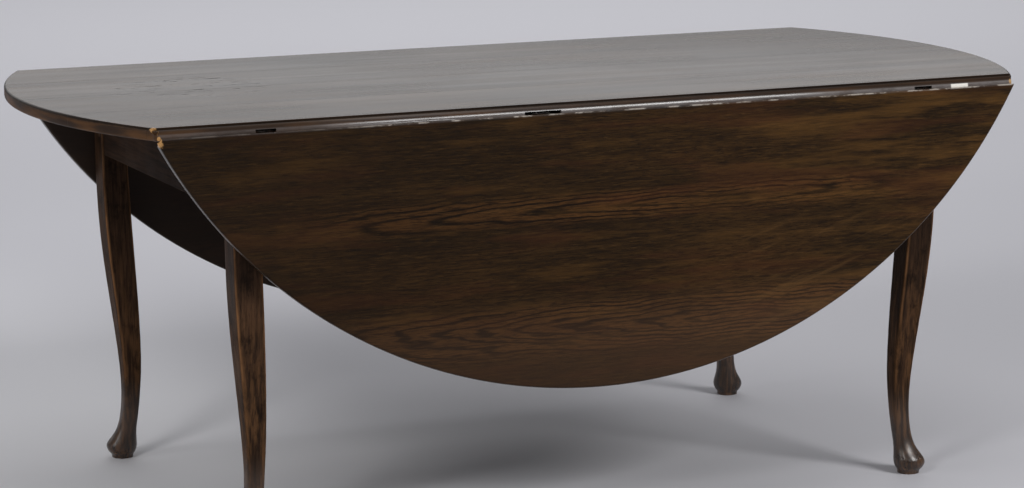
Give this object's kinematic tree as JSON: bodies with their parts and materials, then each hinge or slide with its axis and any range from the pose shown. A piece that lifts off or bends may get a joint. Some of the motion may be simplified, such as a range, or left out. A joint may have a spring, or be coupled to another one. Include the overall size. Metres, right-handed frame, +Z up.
{
  "type": "gateleg table",
  "caption": "Oval drop-leaf table on cabriole legs with pad feet: rule-jointed leaves hang from iron hinges, and two legs stand on gates that turn on wooden knuckles to hold the leaves up.",
  "frame": {"origin": "on the floor, under the middle of the top", "axes": "+X along the leaf joints, +Y towards the back leaf, +Z up"},
  "size_m": [1.83, 0.855, 0.737],
  "materials": {
    "top_oak": "worn wax polish, satin gloss",
    "leaf_oak": "old dark wax polish with the grain showing",
    "rail_oak": "dull dark stain",
    "leg_oak": "dark brown polish, worn paler on the arrises",
    "peg_oak": "rubbed end grain",
    "block_pine": "bare, aged softwood",
    "hinge_iron": "dark forged iron, lightly rusted",
    "pin_iron": "dark drawn iron"
  },
  "bodies": {
    "table_frame": {"top_center": "top_oak", "back_hinge_1_top_plate": "hinge_iron", "back_hinge_1_pin": "pin_iron", "back_hinge_2_top_plate": "hinge_iron", "back_hinge_2_pin": "pin_iron", "back_hinge_3_top_plate": "hinge_iron", "back_hinge_3_pin": "pin_iron", "back_side_rail": "rail_oak", "back_fixed_rail": "rail_oak", "back_knuckle_pin": "pin_iron", "back_end_peg_1": "peg_oak", "back_end_peg_2": "peg_oak", "back_rail_peg_1": "peg_oak", "back_rail_peg_2": "peg_oak", "back_glue_block_1": "block_pine", "back_glue_block_2": "block_pine", "back_glue_block_3": "block_pine", "front_hinge_1_top_plate": "hinge_iron", "front_hinge_1_pin": "pin_iron", "front_hinge_2_top_plate": "hinge_iron", "front_hinge_2_pin": "pin_iron", "front_hinge_3_top_plate": "hinge_iron", "front_hinge_3_pin": "pin_iron", "front_side_rail": "rail_oak", "front_fixed_rail": "rail_oak", "front_knuckle_pin": "pin_iron", "front_end_peg_1": "peg_oak", "front_end_peg_2": "peg_oak", "front_rail_peg_1": "peg_oak", "front_rail_peg_2": "peg_oak", "front_glue_block_1": "block_pine", "front_glue_block_2": "block_pine", "front_glue_block_3": "block_pine", "back_left_leg": "leg_oak", "front_right_leg": "leg_oak", "right_end_rail": "rail_oak", "left_end_rail": "rail_oak"},
    "back_leaf": {"back_leaf": "leaf_oak", "back_hinge_1_leaf_plate": "hinge_iron", "back_hinge_2_leaf_plate": "hinge_iron", "back_hinge_3_leaf_plate": "hinge_iron"},
    "front_leaf": {"front_leaf": "leaf_oak", "front_hinge_1_leaf_plate": "hinge_iron", "front_hinge_2_leaf_plate": "hinge_iron", "front_hinge_3_leaf_plate": "hinge_iron"},
    "back_gate": {"back_fly_rail": "rail_oak", "back_right_swing_leg": "leg_oak", "back_gate_peg_1": "peg_oak", "back_gate_peg_2": "peg_oak"},
    "front_gate": {"front_fly_rail": "rail_oak", "front_left_swing_leg": "leg_oak", "front_gate_peg_1": "peg_oak", "front_gate_peg_2": "peg_oak"}
  },
  "joints": [
    {"name": "back_leaf_hinge", "type": "hinge", "parent": "table_frame", "child": "back_leaf", "pos_m": [0, 0.411, 0.7205], "axis": [1, 0, 0], "range_deg": [0, 90]},
    {"name": "front_leaf_hinge", "type": "hinge", "parent": "table_frame", "child": "front_leaf", "pos_m": [0, -0.411, 0.7205], "axis": [-1, 0, 0], "range_deg": [0, 90]},
    {"name": "back_gate_knuckle", "type": "hinge", "parent": "table_frame", "child": "back_gate", "pos_m": [0.2, 0.38, 0.647], "axis": [0, 0, 1], "range_deg": [0, 1.5]},
    {"name": "front_gate_knuckle", "type": "hinge", "parent": "table_frame", "child": "front_gate", "pos_m": [-0.2, -0.38, 0.647], "axis": [0, 0, 1], "range_deg": [0, 1.5]}
  ]
}
